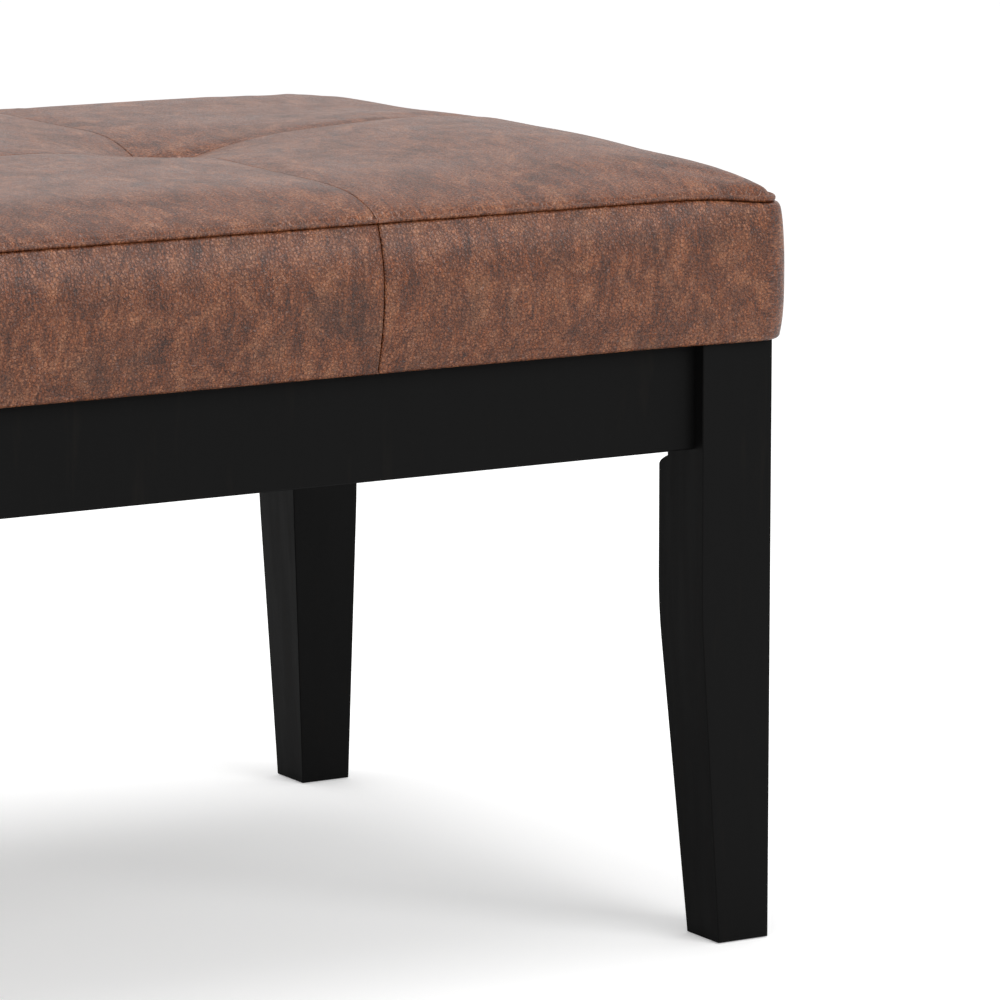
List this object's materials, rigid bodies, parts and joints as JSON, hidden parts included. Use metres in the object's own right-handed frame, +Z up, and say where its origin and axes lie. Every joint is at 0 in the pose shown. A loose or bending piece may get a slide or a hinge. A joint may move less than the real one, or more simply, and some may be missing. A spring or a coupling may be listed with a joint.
{
  "type": "ottoman bench",
  "caption": "Low upholstered bench: a blind-tufted box cushion of sewn panels on four tapered legs, joined by aprons and corner brackets, for sitting or resting the feet.",
  "frame": {"origin": "on the floor, under the middle of the bench", "axes": "+X along the bench to its right end, +Y from front to back, +Z up"},
  "size_m": [1.2404, 0.5134, 0.4295],
  "materials": {
    "painted_wood": "satin",
    "faux_leather": "satin",
    "zinc_steel": "satin",
    "bare_wood": "matte",
    "plywood": "matte",
    "foam": "matte",
    "fibre": "matte",
    "twine": "matte",
    "anchor_plastic": "matte",
    "dust_cloth": "matte",
    "glide_nylon": "satin"
  },
  "bodies": {
    "root": {"apron_back": "painted_wood", "apron_front": "painted_wood", "apron_left": "painted_wood", "apron_right": "painted_wood", "boxing_back_1": "faux_leather", "boxing_back_2": "faux_leather", "boxing_back_3": "faux_leather", "boxing_back_4": "faux_leather", "boxing_back_5": "faux_leather", "boxing_front_1": "faux_leather", "boxing_front_2": "faux_leather", "boxing_front_3": "faux_leather", "boxing_front_4": "faux_leather", "boxing_front_5": "faux_leather", "centre_rail": "bare_wood", "cleat_back_left": "bare_wood", "cleat_back_right": "bare_wood", "cleat_front_left": "bare_wood", "cleat_front_right": "bare_wood", "corner_bracket_back_left": "zinc_steel", "corner_bracket_back_right": "zinc_steel", "corner_bracket_front_left": "zinc_steel", "corner_bracket_front_right": "zinc_steel", "dust_cover": "dust_cloth", "fibre_wrap": "fibre", "foam_block": "foam", "glide_back_left": "glide_nylon", "glide_back_right": "glide_nylon", "glide_front_left": "glide_nylon", "glide_front_right": "glide_nylon", "hanger_bolts": "zinc_steel", "hanger_nuts": "zinc_steel", "hanger_washers": "zinc_steel", "leg_back_left": "painted_wood", "leg_back_right": "painted_wood", "leg_front_left": "painted_wood", "leg_front_right": "painted_wood", "rail_dowels": "bare_wood", "seat_board": "plywood", "top_panel_back_1": "faux_leather", "top_panel_back_2": "faux_leather", "top_panel_back_3": "faux_leather", "top_panel_back_4": "faux_leather", "top_panel_back_5": "faux_leather", "top_panel_front_1": "faux_leather", "top_panel_front_2": "faux_leather", "top_panel_front_3": "faux_leather", "top_panel_front_4": "faux_leather", "top_panel_front_5": "faux_leather", "tuft_anchors": "anchor_plastic", "tuft_twines": "twine"}
  },
  "joints": []
}
